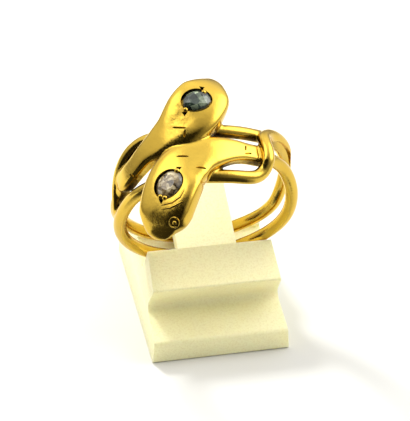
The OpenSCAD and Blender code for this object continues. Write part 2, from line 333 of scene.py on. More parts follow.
@dataclass(frozen=True)
class StandSizes:
    """Sizes of the stand that place the ring in it, in millimetres and degrees."""

    length: float = 25.0
    lip_h: float = 7.6
    lip_back: float = 2.65
    face_l: float = 5.05
    face_slope: float = 28.3
    tongue_w: float = 6.6
    tongue_shift: float = -0.3
    tongue_t: float = 1.8
    slot_gap: float = 0.15

    def ring_middle(self, ring: RingSizes) -> Vector:
        """Return the middle of the ring in the stand.

        Args:
            ring: The ring's sizes.

        Returns:
            The point where the finger's axis crosses the plane between the strands.
        """
        inner_r = ring.inner_d / 2
        reach = self.tongue_w / 2 + abs(self.tongue_shift - ring.shift)
        depth = self.tongue_t + self.slot_gap + inner_r + ring.wire_d - math.sqrt(inner_r ** 2 - reach ** 2)
        rise = inner_r + ring.wire_d - depth
        along = (ring.strand_pitch + ring.wire_d) / 2 + self.slot_gap
        slope = math.radians(self.face_slope)
        back = self.lip_back + (self.face_l + along) * math.cos(slope) - rise * math.sin(slope)
        up = self.lip_h + (self.face_l + along) * math.sin(slope) + rise * math.cos(slope)
        return Vector((ring.shift, back - self.length / 2, up))


FRONT_HEAD = [
    (-26.4, -0.965, 0.27, 0.72, 0.68),
    (-24.5, -0.85, 0.32, 0.83, 0.84),
    (-21.1, -0.71, 0.38, 0.92, 0.96),
    (-17, -0.53, 0.42, 0.97, 1.00),
    (-12.3, -0.35, 0.42, 0.97, 1.00),
    (-7, -0.19, 0.38, 0.92, 0.94),
    (0, -0.08, 0.33, 0.81, 0.86),
    (7, -0.01, 0.28, 0.68, 0.80),
    (16, 0.03, 0.22, 0.55, 0.72),
    (26, 0.05, 0.14, 0.42, 0.66),
    (36, 0.05, 0.06, 0.34, 0.62),
    (43, 0.045, 0.05, 0.335, 0.60),
    (47, 0.04, 0.04, 0.31, 0.58),
    (50, 0.04, 0.01, 0.24, 0.57),
]
BACK_HEAD = [
    (22, 1.00, 0.26, 0.50, 0.64),
    (19.5, 0.89, 0.32, 0.67, 0.82),
    (15.5, 0.76, 0.38, 0.87, 0.94),
    (9.5, 0.61, 0.42, 0.97, 1.00),
    (3, 0.47, 0.40, 0.96, 0.98),
    (-6, 0.35, 0.34, 0.81, 0.90),
    (-16, 0.285, 0.26, 0.62, 0.80),
    (-26, 0.245, 0.18, 0.43, 0.74),
    (-36, 0.185, 0.12, 0.38, 0.68),
    (-44, 0.15, 0.10, 0.39, 0.66),
    (-49, 0.135, 0.09, 0.39, 0.64),
    (-52, 0.125, 0.07, 0.34, 0.62),
    (-54.5, 0.115, 0.02, 0.24, 0.57),
]
FRONT_SHANK = [
    (60, 0, 0.16),
    (75, 0, 0.13),
    (95, -0.35, 0),
    (120, -0.93, 0),
    (155, -1, 0),
    (195, -1, 0),
    (235, -1, 0),
    (270, -1, 0),
    (295, -1, 0),
    (315, -0.84, 0),
    (336, -0.45, -0.20),
    (355, 0, -0.50),
    (371, 0, -0.63),
    (384, 0, -0.69),
    (394, 0, -0.70),
]
BACK_SHANK = [
    (-62, 0.68, 0),
    (-76, 0.72, 0),
    (-96, 0.90, 0),
    (-120, 1, 0),
    (-155, 1, 0),
    (-195, 1, 0),
    (-228, 1, 0.04),
    (-246, 0.60, 0.50),
    (-264, 0, 0.98),
    (-282, 0, 1.02),
    (-300, 0, 0.96),
    (-318, 0, 0.90),
    (-342, 0, 0.93),
    (-365, 0, 1.00),
    (-380, 0, 1.18),
]
FRONT_TAIL = [
    (400.5, -0.64, 0.08, 1),
    (404.5, -0.48, 0.36, 1),
    (406, -0.20, 0.84, 1),
    (406.5, 0.12, 0.92, 1),
    (407, 0.42, 0.80, 1),
    (409, 0.70, 0.60, 1),
    (414, 0.90, 0.48, 0.98),
    (421, 1.00, 0.43, 0.92),
    (430, 1.05, 0.40, 0.82),
    (440, 1.05, 0.38, 0.70),
    (451, 1.02, 0.28, 0.55),
    (461, 0.99, 0.12, 0.40),
]
BACK_TAIL = [
    (-390, 1.22, 0.10, 1),
    (-399, 1.13, 0.20, 1),
    (-407, 0.94, 0.28, 0.96),
    (-413, 0.72, 0.33, 0.88),
    (-419, 0.40, 0.35, 0.78),
    (-424, 0.08, 0.33, 0.68),
    (-429, -0.16, 0.28, 0.58),
    (-435, -0.32, 0.18, 0.45),
]


class Route:
    """The path of one snake round the finger, with its section at each row."""

    ROUND_WIRE = 2.0
    FLAT_HEAD = 3.8
    PROBE = 0.05
    TIP = 0.02

    def __init__(self, sizes: RingSizes, head: list, shank: list, tail: list, reach: float) -> None:
        """Work out the rows.

        Args:
            sizes: The ring's sizes.
            head: Turn, place as a share of reach, lift, width and thickness as shares of the head's.
            shank: Turn, place as shares of half the pitch and of the shoulder's reach.
            tail: Turn, place as a share of the shoulder's reach, lift and thickness as shares of the wire.
            reach: How far the snout stands out along the finger.
        """
        wire_r = sizes.wire_d / 2
        rows = [
            (turn, along * reach, sizes.wire_ring_r + lift * sizes.head_t,
             width * sizes.head_w / 2, thick * sizes.head_t / 2, self.FLAT_HEAD)
            for turn, along, lift, width, thick in head
        ]
        rows += [
            (turn, pitch * sizes.strand_pitch / 2 + shoulder * sizes.shoulder_reach, sizes.wire_ring_r,
             wire_r, wire_r, self.ROUND_WIRE)
            for turn, pitch, shoulder in shank
        ]
        rows += [
            (turn, along * sizes.shoulder_reach, sizes.wire_ring_r + lift * sizes.wire_d,
             thick * wire_r, thick * wire_r, self.ROUND_WIRE)
            for turn, along, lift, thick in tail
        ]
        self.rows = np.array(rows, dtype=float)
        self.nose_len = sizes.nose_len
        places = self.places(self.rows)
        self.runs = np.linalg.norm(np.diff(places, axis=0), axis=1)
        ends = np.arange(len(self.rows))
        before = np.maximum(ends - 1, 0)
        after = np.minimum(ends + 1, len(self.rows) - 1)
        travelled = np.concatenate([[0.0], np.cumsum(self.runs)])
        self.slopes = (self.rows[after] - self.rows[before]) / (travelled[after] - travelled[before])[:, None]

    @staticmethod
    def outward(turns: np.ndarray) -> np.ndarray:
        """Return the directions out from the finger's axis at some turns in degrees."""
        angles = np.radians(turns)
        return np.stack([np.sin(angles), np.zeros_like(angles), np.cos(angles)], axis=-1)

    @classmethod
    def places(cls, rows: np.ndarray) -> np.ndarray:
        """Return the middles of some sections.

        Args:
            rows: The sections' rows.

        Returns:
            One point for each row, round the finger's axis.
        """
        middle = cls.outward(rows[:, TURN]) * rows[:, RADIUS, None]
        middle[:, 1] += rows[:, ALONG]
        return middle

    def at(self, where: np.ndarray) -> np.ndarray:
        """Return rows at fractional places along the route.

        Args:
            where: Places, as numbers of rows from the snout.

        Returns:
            One row for each place, on the cubics between the route's own rows.
        """
        index = np.clip(np.floor(where).astype(int), 0, len(self.rows) - 2)
        t = (where - index)[:, None]
        run = self.runs[index][:, None]
        return (
            self.rows[index] * (2 * t ** 3 - 3 * t ** 2 + 1)
            + self.slopes[index] * run * (t ** 3 - 2 * t ** 2 + t)
            + self.rows[index + 1] * (3 * t ** 2 - 2 * t ** 3)
            + self.slopes[index + 1] * run * (t ** 3 - t ** 2)
        )

    def fine(self, step: float, nose_steps: int) -> tuple[np.ndarray, np.ndarray]:
        """Return closely spaced rows of the whole snake.

        Args:
            step: The longest step between two rows.
            nose_steps: How many rows round the tip of the snout.

        Returns:
            The rows, and the share of the full section that each has.
        """
        where = [((np.arange(nose_steps) + 0.05) / nose_steps) ** 2]
        for i, run in enumerate(self.runs[1:], start=1):
            count = max(1, math.ceil(run / step))
            where.append(i + np.arange(count) / count)
        where.append(np.array([len(self.rows) - 1.0]))
        rows = self.at(np.concatenate(where))
        gone = np.concatenate([[0.0], np.cumsum(np.linalg.norm(np.diff(self.places(rows), axis=0), axis=1))])
        return rows, self.snout(gone)

    def snout(self, distance: np.ndarray) -> np.ndarray:
        """Return the share of the full section at distances from the tip of the snout."""
        left = np.clip(1 - (distance + self.TIP) / (self.nose_len + self.TIP), 0, 1)
        return np.sqrt(1 - left ** 2)

    @classmethod
    def squareness(cls, square: np.ndarray, share: np.ndarray) -> np.ndarray:
        """Return the squareness of sections, which grow round towards the tip of the snout."""
        return cls.ROUND_WIRE + (square - cls.ROUND_WIRE) * share

    def skin(self, where: float, aside: float, height: float = 0.0) -> np.ndarray:
        """Return a point on the outer side of the snake's skin.

        Args:
            where: Place along the route, as a number of rows.
            aside: Place across the section, from -1 at its left edge to 1 at its right.
            height: Distance above the skin.

        Returns:
            The point, round the finger's axis.
        """
        probe = self.at(np.array([where - self.PROBE, where, where + self.PROBE]))
        before, middle, after = self.places(probe)
        row = probe[1]
        out = self.outward(row[TURN:TURN + 1])[0]
        ahead = (after - before) / np.linalg.norm(after - before)
        side = np.cross(ahead, out)
        side /= np.linalg.norm(side)
        up = np.cross(side, ahead)
        share = float(self.snout(np.linalg.norm(middle - self.places(self.rows[:1])[0])))
        square = self.squareness(row[SQUARE], share)
        rise = (1 - abs(aside) ** square) ** (1 / square)
        return middle + (side * aside * row[HALF_W] + up * rise * row[HALF_T]) * share + out * height


def new_object(name: str, data: ID) -> Object:
    """Make a linked object.

    Args:
        name: Its name.
        data: The mesh, camera or light that it holds.

    Returns:
        The object.
    """
    obj = bpy.data.objects.new(name, data)
    bpy.context.scene.collection.objects.link(obj)
    return obj


def drop(obj: Object) -> None:
    """Delete a helper object."""
    bpy.data.objects.remove(obj, do_unlink=True)


def settle(obj: Object) -> None:
    """Make an object's modifiers part of its mesh, and take them off.

    Args:
        obj: The object.
    """
    graph = bpy.context.evaluated_depsgraph_get()
    graph.update()
    mesh = bpy.data.meshes.new_from_object(obj.evaluated_get(graph), preserve_all_data_layers=True,
                                           depsgraph=graph)
    mesh.name = obj.name
    obj.modifiers.clear()
    obj.data = mesh


@contextmanager
def opened(mesh: Mesh) -> Iterator[bmesh.types.BMesh]:
    """Open a mesh for editing, and write it back at the end.

    Args:
        mesh: The mesh.

    Yields:
        Its points, edges and faces.
    """
    work = bmesh.new()
    work.from_mesh(mesh)
    yield work
    work.to_mesh(mesh)
    work.free()


def clean(mesh: Mesh) -> None:
    """Merge the doubles of a mesh in millimetres and turn its faces outwards."""
    with opened(mesh) as work:
        bmesh.ops.remove_doubles(work, verts=work.verts, dist=WELD)
        bmesh.ops.recalc_face_normals(work, faces=work.faces)


def drop_chips(mesh: Mesh) -> None:
    """Delete every part of a mesh that isn't joined to its largest part.

    Args:
        mesh: The mesh that cutters have been through.
    """
    with opened(mesh) as work:
        left = set(work.verts)
        parts = []
        while left:
            part = {left.pop()}
            edge = list(part)
            while edge:
                near = {line.other_vert(vert) for vert in edge for line in vert.link_edges} - part
                part |= near
                edge = list(near)
            left -= part
            parts.append(part)
        parts.sort(key=len)
        loose = [vert for part in parts[:-1] for vert in part]
        bmesh.ops.delete(work, geom=loose, context="VERTS")
    log.info("%s: %d loose chips taken off", mesh.name, len(parts) - 1)


class FormTree:
    """Geometry Nodes tree with named inputs, which ends in real geometry with its finish."""

    def __init__(self, name: str, form: str, **inputs: str) -> None:
        """Make the tree with its inputs and its output.

        Args:
            name: The tree's name.
            form: Name of the geometry that goes in and comes out.
            **inputs: Kind of each further input, Int or Float.
        """
        self.tree = bpy.data.node_groups.new(name, "GeometryNodeTree")
        self.add = partial(add_node, self.tree)
        self.form = form
        face = self.tree.interface
        face.new_socket(form, in_out="INPUT", socket_type="NodeSocketGeometry")
        self.keys = {
            label: face.new_socket(label, in_out="INPUT", socket_type="NodeSocket" + kind).identifier
            for label, kind in {**inputs, "Finish": "Material"}.items()
        }
        face.new_socket(form, in_out="OUTPUT", socket_type="NodeSocketGeometry")
        self.given = self.add("NodeGroupInput").outputs

    def end(self, shape: Node) -> None:
        """Make a shape real, give it its finish and put it out.

        Args:
            shape: The node that makes the shape.
        """
        real = self.add("GeometryNodeRealizeInstances", {"Geometry": shape})
        dressed = self.add("GeometryNodeSetMaterial", {"Geometry": real, "Material": self.given["Finish"]})
        self.add("NodeGroupOutput", {self.form: dressed})

    def run(self, obj: Object, **values: object) -> None:
        """Put an object's mesh through the tree.

        Args:
            obj: The object, in millimetres.
            **values: The tree's inputs, by name.
        """
        modifier = obj.modifiers.new(self.tree.name, "NODES")
        modifier.node_group = self.tree
        for label, value in values.items():
            modifier[self.keys[label]] = value
        settle(obj)


class SweepTree(FormTree):
    """Geometry Nodes tree that sweeps a flattened round section along a route."""

    def __init__(self) -> None:
        """Build the tree."""
        super().__init__("sweep_along_route", "Route", Sides="Int")
        add, given = self.add, self.given
        spot, ahead = add("GeometryNodeInputPosition"), add("GeometryNodeInputTangent")
        line = add("GeometryNodeMeshToCurve", {"Mesh": given["Route"]})
        circle = add("GeometryNodeCurvePrimitiveCircle", {"Resolution": given["Sides"], "Radius": 1.0})
        vector = {"data_type": "FLOAT_VECTOR", "domain": "POINT"}
        middle = add("GeometryNodeStoreNamedAttribute",
                     {"Geometry": line, "Name": "middle", "Value": spot}, **vector)
        aimed = add("GeometryNodeStoreNamedAttribute",
                    {"Geometry": middle, "Name": "ahead", "Value": ahead}, **vector)
        profile = add("GeometryNodeStoreNamedAttribute",
                      {"Geometry": circle, "Name": "rim", "Value": spot}, **vector)
        body = add("GeometryNodeCurveToMesh",
                   {"Curve": aimed, "Profile Curve": profile, "Fill Caps": True})
        kinds = dict.fromkeys(("middle", "ahead", "rim", "outward"), "FLOAT_VECTOR")
        kinds |= dict.fromkeys(("half_w", "half_t", "square"), "FLOAT")
        named = {
            name: add("GeometryNodeInputNamedAttribute", {"Name": name}, data_type=kind).outputs["Attribute"]
            for name, kind in kinds.items()
        }
        cross = add("ShaderNodeVectorMath", {0: named["ahead"], 1: named["outward"]},
                    operation="CROSS_PRODUCT")
        side = add("ShaderNodeVectorMath", {0: cross}, operation="NORMALIZE")
        up = add("ShaderNodeVectorMath", {0: side, 1: named["ahead"]}, operation="CROSS_PRODUCT")
        power = add("ShaderNodeMath", {0: 2.0, 1: named["square"]}, operation="DIVIDE")
        rim = add("ShaderNodeSeparateXYZ", {"Vector": named["rim"]}).outputs
        shifts = []
        for value, half, way in ((rim["X"], named["half_w"], side), (rim["Y"], named["half_t"], up)):
            size = add("ShaderNodeMath", {0: value}, operation="ABSOLUTE")
            raised = add("ShaderNodeMath", {0: size, 1: power}, operation="POWER")
            sign = add("ShaderNodeMath", {0: value}, operation="SIGN")
            signed = add("ShaderNodeMath", {0: raised, 1: sign}, operation="MULTIPLY")
            reach = add("ShaderNodeMath", {0: signed, 1: half}, operation="MULTIPLY")
            shifts.append(add("ShaderNodeVectorMath", {0: way, "Scale": reach}, operation="SCALE"))
        shifted = add("ShaderNodeVectorMath", {0: shifts[0], 1: shifts[1]}, operation="ADD")
        place = add("ShaderNodeVectorMath", {0: named["middle"], 1: shifted}, operation="ADD")
        self.end(add("GeometryNodeSetPosition", {"Geometry": body, "Position": place}))

    def sweep(self, name: str, places: np.ndarray, outward: np.ndarray, half_w: np.ndarray | float,
              half_t: np.ndarray | float, square: np.ndarray | float, sides: int) -> Mesh:
        """Sweep one body and return it as a plain mesh.

        Args:
            name: The body's name.
            places: Middle of each section.
            outward: Direction of each section's thickness.
            half_w: Half width of each section, or of all.
            half_t: Half thickness of each section, or of all.
            square: Squareness of each section, or of all, 2 for an ellipse.
            sides: Sides of a section.

        Returns:
            The swept mesh, closed at its ends, with its faces outwards.
        """
        line = bpy.data.meshes.new(name + "_route")
        line.from_pydata(places.tolist(), [(i, i + 1) for i in range(len(places) - 1)], [])
        for label, values in (("half_w", half_w), ("half_t", half_t), ("square", square)):
            each = np.full(len(places), values, dtype=float)
            line.attributes.new(label, "FLOAT", "POINT").data.foreach_set("value", each)
        line.attributes.new("outward", "FLOAT_VECTOR", "POINT").data.foreach_set("vector", outward.ravel())
        carrier = new_object(name, line)
        self.run(carrier, Sides=sides)
        mesh = carrier.data
        drop(carrier)
        clean(mesh)
        return mesh


class TarnishAndShadeTree(FormTree):
    """Geometry Nodes tree that marks how deep each point lies in a joint, seat or engraved line."""

    LIFT = 0.02
    SOFTENING = 2

    def __init__(self) -> None:
        """Build the tree."""
        super().__init__("blocked_ray_darkening", "Metal", Rays="Int", Reach="Float")
        add, given = self.add, self.given
        number = {"data_type": "FLOAT", "domain": "POINT"}
        # The mark stands for tarnish in the joints and for painted shade where rays are blocked.
        start = add("GeometryNodeStoreNamedAttribute",
                    {"Geometry": given["Metal"], "Name": "tarnish", "Value": 0.0}, **number)
        loop_in, loop_out = add("GeometryNodeRepeatInput"), add("GeometryNodeRepeatOutput")
        loop_in.pair_with_output(loop_out)
        feed(loop_in, {"Iterations": given["Rays"], "Geometry": start})
        normal = add("GeometryNodeInputNormal").outputs["Normal"]
        scatter = add("FunctionNodeRandomValue",
                      {"Seed": loop_in.outputs["Iteration"], "Min": (-1.0,) * 3, "Max": (1.0,) * 3},
                      data_type="FLOAT_VECTOR")
        leaning = add("ShaderNodeVectorMath", {0: scatter.outputs["Value"]}, operation="NORMALIZE")
        leant = add("ShaderNodeVectorMath", {0: normal, 1: leaning}, operation="ADD")
        lift = add("ShaderNodeVectorMath", {0: normal, "Scale": self.LIFT}, operation="SCALE")
        ray = add("GeometryNodeRaycast", {
            "Target Geometry": given["Metal"],
            "Source Position": add("ShaderNodeVectorMath", {0: add("GeometryNodeInputPosition"), 1: lift},
                                   operation="ADD"),
            "Ray Direction": add("ShaderNodeVectorMath", {0: leant}, operation="NORMALIZE"),
            "Ray Length": given["Reach"],
        })
        share = add("ShaderNodeMath", {0: ray.outputs["Is Hit"], 1: given["Rays"]}, operation="DIVIDE")
        before, after = (
            add("GeometryNodeInputNamedAttribute", {"Name": "tarnish"}, data_type="FLOAT")
            .outputs["Attribute"] for _ in range(2)
        )
        total = add("ShaderNodeMath", {0: before, 1: share}, operation="ADD")
        kept = add("GeometryNodeStoreNamedAttribute",
                   {"Geometry": loop_in.outputs["Geometry"], "Name": "tarnish", "Value": total}, **number)
        feed(loop_out, {"Geometry": kept})
        blurred = add("GeometryNodeBlurAttribute", {"Value": after, "Iterations": self.SOFTENING},
                      data_type="FLOAT")
        marked = add("GeometryNodeStoreNamedAttribute",
                     {"Geometry": loop_out.outputs["Geometry"], "Name": "tarnish", "Value": blurred},
                     **number)
        self.end(marked)


def joined(name: str, meshes: list[Mesh]) -> Mesh:
    """Return one mesh that holds all the given ones.

    Args:
        name: The new mesh's name.
        meshes: The meshes.

    Returns:
        The joined mesh, without attributes.
    """
    work = bmesh.new()
    for mesh in meshes:
        work.from_mesh(mesh)
    result = bpy.data.meshes.new(name)
    work.to_mesh(result)
    work.free()
    return result


def finish_piece(piece: Object, material: Material, node: str) -> None:
    """Bring a piece to metres, give it its material, hang it under the root body and hide its CAD node.

    Args:
        piece: The piece, in millimetres.
        material: Its material.
        node: The CAD node that it replaces.
    """
    piece.data.transform(Matrix.Scale(MM, 4))
    piece.data.materials.clear()
    piece.data.materials.append(material)
    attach(piece, ROOT)
    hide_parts(node)
    log.info("%s: %d faces", piece.name, len(piece.data.polygons))


@dataclass
class Seat:
    """Seat of one stone, on the head, with lengths in millimetres and angles in degrees."""

    turn: float
    along: float
    spin: float
    length: float
    width: float

    def frame(self, radius: float) -> Matrix:
        """Return the seat's own frame.

        Args:
            radius: Distance of its origin from the finger's axis.

        Returns:
            The frame, with Z out of the head and X along the stone.
        """
        return (
            Matrix.Rotation(math.radians(self.turn), 4, "Y")
            @ Matrix.Translation((0.0, self.along, radius))
            @ Matrix.Rotation(math.radians(self.spin), 4, "Z")
        )


def oval_ring(length: float, width: float, height: float, corners: int, turned: float = 0.0) -> list[Vector]:
    """Return points of a flat oval.

    Args:
        length: Length along X.
        width: Width along Y.
        height: Height along Z.
        corners: Number of points.
        turned: Turn of the points, as a share of one step.

    Returns:
        The points.
    """
    points = []
    for k in range(corners):
        angle = 2 * math.pi * (k + turned) / corners
        points.append(Vector((math.cos(angle) * length / 2, math.sin(angle) * width / 2, height)))
    return points


def stacked(name: str, rings: list[list[Vector]]) -> Mesh:
    """Return a closed mesh through rings of as many points each.

    Args:
        name: The mesh's name.
        rings: The rings, from the lowest up.

    Returns:
        The mesh, with its ends closed.
    """
    count = len(rings[0])
    faces = [list(range(count))[::-1]]
    for level in range(len(rings) - 1):
        for k in range(count):
            a = level * count + k
            b = level * count + (k + 1) % count
            faces.append([a, b, b + count, a + count])
    faces.append([(len(rings) - 1) * count + k for k in range(count)])
    mesh = bpy.data.meshes.new(name)
    mesh.from_pydata([point for ring in rings for point in ring], [], faces)
    clean(mesh)
    return mesh


@dataclass
class CutStone:
    """One cut stone in its seat, with lengths in millimetres."""

    node: str
    slot: str
    seat: Seat
    gem: CutGem
    sizes: RingSizes
    table: float = 0.52
    star: float = 0.79
    star_h: float = 0.62
    culet: float = 0.5
    girdle_h: float = 0.1
    facets: int = 8
    flat_angle: float = 0.5
    seat_depth: float = 0.1
    rim_low: float = -0.02
    rim_h: float = 0.22
    rim_w: float = 0.16
    cutter_h: float = 2.0
    cutter_sides: int = 48

    def hull(self, grown: float = 0.0) -> Mesh:
        """Build the faceted stone: table, star and main facets, girdle and pavilion.

        Args:
            grown: How far every face stands out past the stone's own.

        Returns:
            The stone's mesh round the finger's axis, in millimetres.
        """
        length, width = self.seat.length + 2 * grown, self.seat.width + 2 * grown
        crown, girdle = self.sizes.crown_h, self.girdle_h / 2
        levels = (
            (self.table, crown + grown, self.facets, 0.5),
            (self.star, crown * self.star_h + grown, self.facets, 0.0),
            (1.0, girdle, 2 * self.facets, 0.0),
            (1.0, -girdle, 2 * self.facets, 0.0),
            (self.culet, -self.sizes.pavilion_h, self.facets, 0.5),
        )
        mesh = bpy.data.meshes.new(self.node + "_cut")
        with opened(mesh) as work:
            for share, height, corners, turned in levels:
                for point in oval_ring(length * share, width * share, height, corners, turned):
                    work.verts.new(point)
            bmesh.ops.convex_hull(work, input=work.verts)
            bmesh.ops.dissolve_limit(work, angle_limit=math.radians(self.flat_angle), verts=work.verts,
                                     edges=work.edges)
        clean(mesh)
        reach = [
            math.hypot(2 * vert.co.x / length, 2 * vert.co.y / width) if vert.co.z > -self.girdle_h else 1.0
            for vert in mesh.vertices
        ]
        mesh.attributes.new("girdle", "FLOAT", "POINT").data.foreach_set("value", reach)
        mesh.transform(self.seat.frame(self.sizes.girdle_r))
        return mesh

    def cutter(self) -> Mesh:
        """Build the solid that cuts the seat, with a bright bevelled rim.

        Returns:
            The cutter's mesh, round the finger's axis.
        """
        gap = 2 * self.sizes.seat_gap
        deep = -self.sizes.pavilion_h - self.seat_depth
        levels = ((deep, 0.0), (self.rim_low, 0.0), (self.rim_h, self.rim_w), (self.cutter_h, self.rim_w))
        mesh = stacked(self.node + "_seat", [
            oval_ring(self.seat.length + gap + more, self.seat.width + gap + more, height, self.cutter_sides)
            for height, more in levels
        ])
        mesh.transform(self.seat.frame(self.sizes.girdle_r))
        return mesh

    def dress(self, to_stand: Matrix) -> None:
        """Make the stone's object and put it in place of its CAD node.

        Args:
            to_stand: Places what is made round the finger's axis in the stand.
        """
        mesh = self.hull()
        mesh.transform(to_stand)
        finish_piece(new_object(self.node + "_cut", mesh), self.gem.build(), self.node)


@dataclass(frozen=True)
class Stroke:
    """How a line on a snake's skin is swept, with its radius in millimetres.

    The tip is the smallest square of its share of the radius, at both ends, the depth its thickness as a
    share of its width, and the square its squareness, 2 for round.
    """

    name: str
    radius: float
    steps: int
    tip: float
    depth: float
    square: float
    sides: int


ENGRAVED = Stroke("engraved_line", 0.12, 9, 0.03, 1.3, 1.3, 8)
TROUGH = Stroke("trough", 0.5, 9, 0.03, 1.3, 1.3, 8)
RAISED = Stroke("brow", 0.12, 19, 0.05, 1.0, 2.0, 10)


@dataclass
class SnakeRing:
    """The gold ring: two snakes, their grains, seats and engraved marks, with lengths in millimetres.

    Each mark is given by points on a snake's skin: a row of its route, and a place across from -1 to 1.
    The trough between the right loop's tail and the wire beside it is cut so that it takes painted shade.
    """

    sizes: RingSizes
    stones: list[CutStone]
    sweeps: SweepTree
    tarnish: TarnishAndShadeTree
    sides: int = 40
    step: float = 0.12
    nose_steps: int = 26
    voxel: float = 0.115
    smoothing: int = 7
    smoothed: float = 0.5
    sharp_angle: float = 35.0
    rays: int = 28
    ray_reach: float = 1.5
    front_grains: tuple = ((3.05, -0.12), (3.02, 0.06), (4.77, 0.04))
    back_grains: tuple = ((2.33, 0.04), (3.8, 0.16))
    grain_sink: float = 0.072
    front_cuts: tuple = ((4.97, 0.04), (2.82, -0.03))
    back_cuts: tuple = ((4.02, 0.09), (2.1, 0.2))
    notch_levels: tuple = ((-0.45, 0.4), (0.2, 0.85))
    notch_turned: float = 0.125
    front_marks: tuple = (
        ((5.47, -0.42), (5.97, -0.1)),
        ((5.77, 0.49), (6.35, 0.82)),
        ((9.7, -0.4), (9.6, 0.17)),
        ((9.52, 0.51), (10.05, 0.37)),
    )
    back_marks: tuple = (
        ((4.92, 0.04), (4.5, -0.38)),
        ((4.6, -0.39), (4.85, -0.65)),
        ((8.5, -0.54), (8.37, -0.94)),
    )
    painted_shade_trough: tuple = ((23.1, -0.8), (20.9, -0.8))
    brows: tuple = (
        ((2.55, 0.0), (2.8, 0.4), (3.2, 0.6), (3.82, 0.64)),
        ((2.32, 0.03), (2.47, 0.39), (2.67, 0.57), (2.97, 0.75)),
    )
    nostril: tuple = (1.62, 0.75)
    nostril_r: float = 0.5
    nostril_rim_r: float = 0.08
    nostril_steps: int = 29
    nostril_turn: float = 1.96 * math.pi
    dome_r: float = 0.26
    dome_sink: float = 0.104
    stone_gap: float = 0.015

    def __post_init__(self) -> None:
        """Work out both snakes' routes."""
        self.front = Route(self.sizes, FRONT_HEAD, FRONT_SHANK, FRONT_TAIL, self.sizes.front_reach)
        self.back = Route(self.sizes, BACK_HEAD, BACK_SHANK, BACK_TAIL, self.sizes.back_reach)

    def snake(self, name: str, route: Route) -> Mesh:
        """Build one snake's smooth body.

        Args:
            name: The mesh's name.
            route: Its route.

        Returns:
            The mesh, round the finger's axis.
        """
        rows, share = route.fine(self.step, self.nose_steps)
        return self.sweeps.sweep(
            name, Route.places(rows), Route.outward(rows[:, TURN]), rows[:, HALF_W] * share,
            rows[:, HALF_T] * share, Route.squareness(rows[:, SQUARE], share), self.sides,
        )

    def line(self, route: Route, points: tuple, stroke: Stroke) -> Mesh:
        """Build one line on a snake's skin, to be cut or added, thinner at both ends.

        Args:
            route: The snake's route.
            points: Row and place across at each of its points.
            stroke: How it is swept.

        Returns:
            The line's mesh.
        """
        steps = np.linspace(0, len(points) - 1, stroke.steps)
        rows, asides = (np.interp(steps, np.arange(len(points)), column) for column in np.array(points).T)
        middles = np.array([route.skin(row, aside) for row, aside in zip(rows, asides)])
        half = stroke.radius * np.sqrt(np.clip(1 - (2 * steps / steps[-1] - 1) ** 4, stroke.tip, 1))
        out = middles * [1, 0, 1]
        out /= np.linalg.norm(out, axis=1)[:, None]
        return self.sweeps.sweep(stroke.name, middles, out, half, half * stroke.depth, stroke.square,
                                 stroke.sides)

    def nostril_ring(self) -> Mesh:
        """Build the raised ring round the front snake's nostril.

        Returns:
            The ring's mesh.
        """
        route, (row, across) = self.front, self.nostril
        middle = route.skin(row, across)
        ahead = route.skin(row + 0.1, across) - middle
        ahead /= np.linalg.norm(ahead)
        out = np.cross(route.skin(row, across - 0.05) - middle, ahead)
        out /= np.linalg.norm(out)
        out *= math.copysign(1, float(out @ (middle * [1, 0, 1])))
        aside = np.cross(out, ahead)
        angles = np.linspace(0.0, self.nostril_turn, self.nostril_steps)
        points = middle + self.nostril_r * (np.cos(angles)[:, None] * ahead + np.sin(angles)[:, None] * aside)
        outs = np.repeat(out[None], len(angles), axis=0)
        return self.sweeps.sweep("nostril", points, outs, self.nostril_rim_r, self.nostril_rim_r,
                                 Route.ROUND_WIRE, RAISED.sides)

    def notch(self, route: Route, mark: tuple) -> Mesh:
        """Build the three-cornered cutter beside a grain.

        Args:
            route: The snake's route.
            mark: Row and place across of its middle.

        Returns:
            The cutter's mesh.
        """
        middle = Vector(route.skin(*mark))
        mesh = stacked("notch", [
            oval_ring(size, size, height, 3, self.notch_turned) for height, size in self.notch_levels
        ])
        turn = math.atan2(middle.x, middle.z)
        mesh.transform(Matrix.Translation(middle) @ Matrix.Rotation(turn, 4, "Y"))
        return mesh

    @staticmethod
    def ball(route: Route, mark: tuple, radius: float, sink: float) -> Mesh:
        """Build a small ball of gold: a grain pushed over a stone's edge, or the nostril's dome.

        Args:
            route: The snake's route.
            mark: Row and place across of its middle.
            radius: Its radius.
            sink: How deep its middle lies under the skin.

        Returns:
            The ball's mesh.
        """
        mesh = bpy.data.meshes.new("ball")
        with opened(mesh) as work:
            bmesh.ops.create_icosphere(work, subdivisions=3, radius=radius)
        mesh.transform(Matrix.Translation(route.skin(*mark, -sink)))
        return mesh

    def solder(self, bodies: list[Mesh]) -> Object:
        """Join both snakes' bodies into one skin, and polish it.

        Args:
            bodies: The bodies.

        Returns:
            The ring's object.
        """
        ring = new_object("snake_ring_gold", joined("snake_ring_gold", bodies))
        skin = ring.modifiers.new("solder", "REMESH")
        skin.mode = "VOXEL"
        skin.voxel_size = self.voxel
        skin.use_smooth_shade = True
        polish = ring.modifiers.new("polish", "SMOOTH")
        polish.factor = self.smoothed
        polish.iterations = self.smoothing
        settle(ring)
        return ring

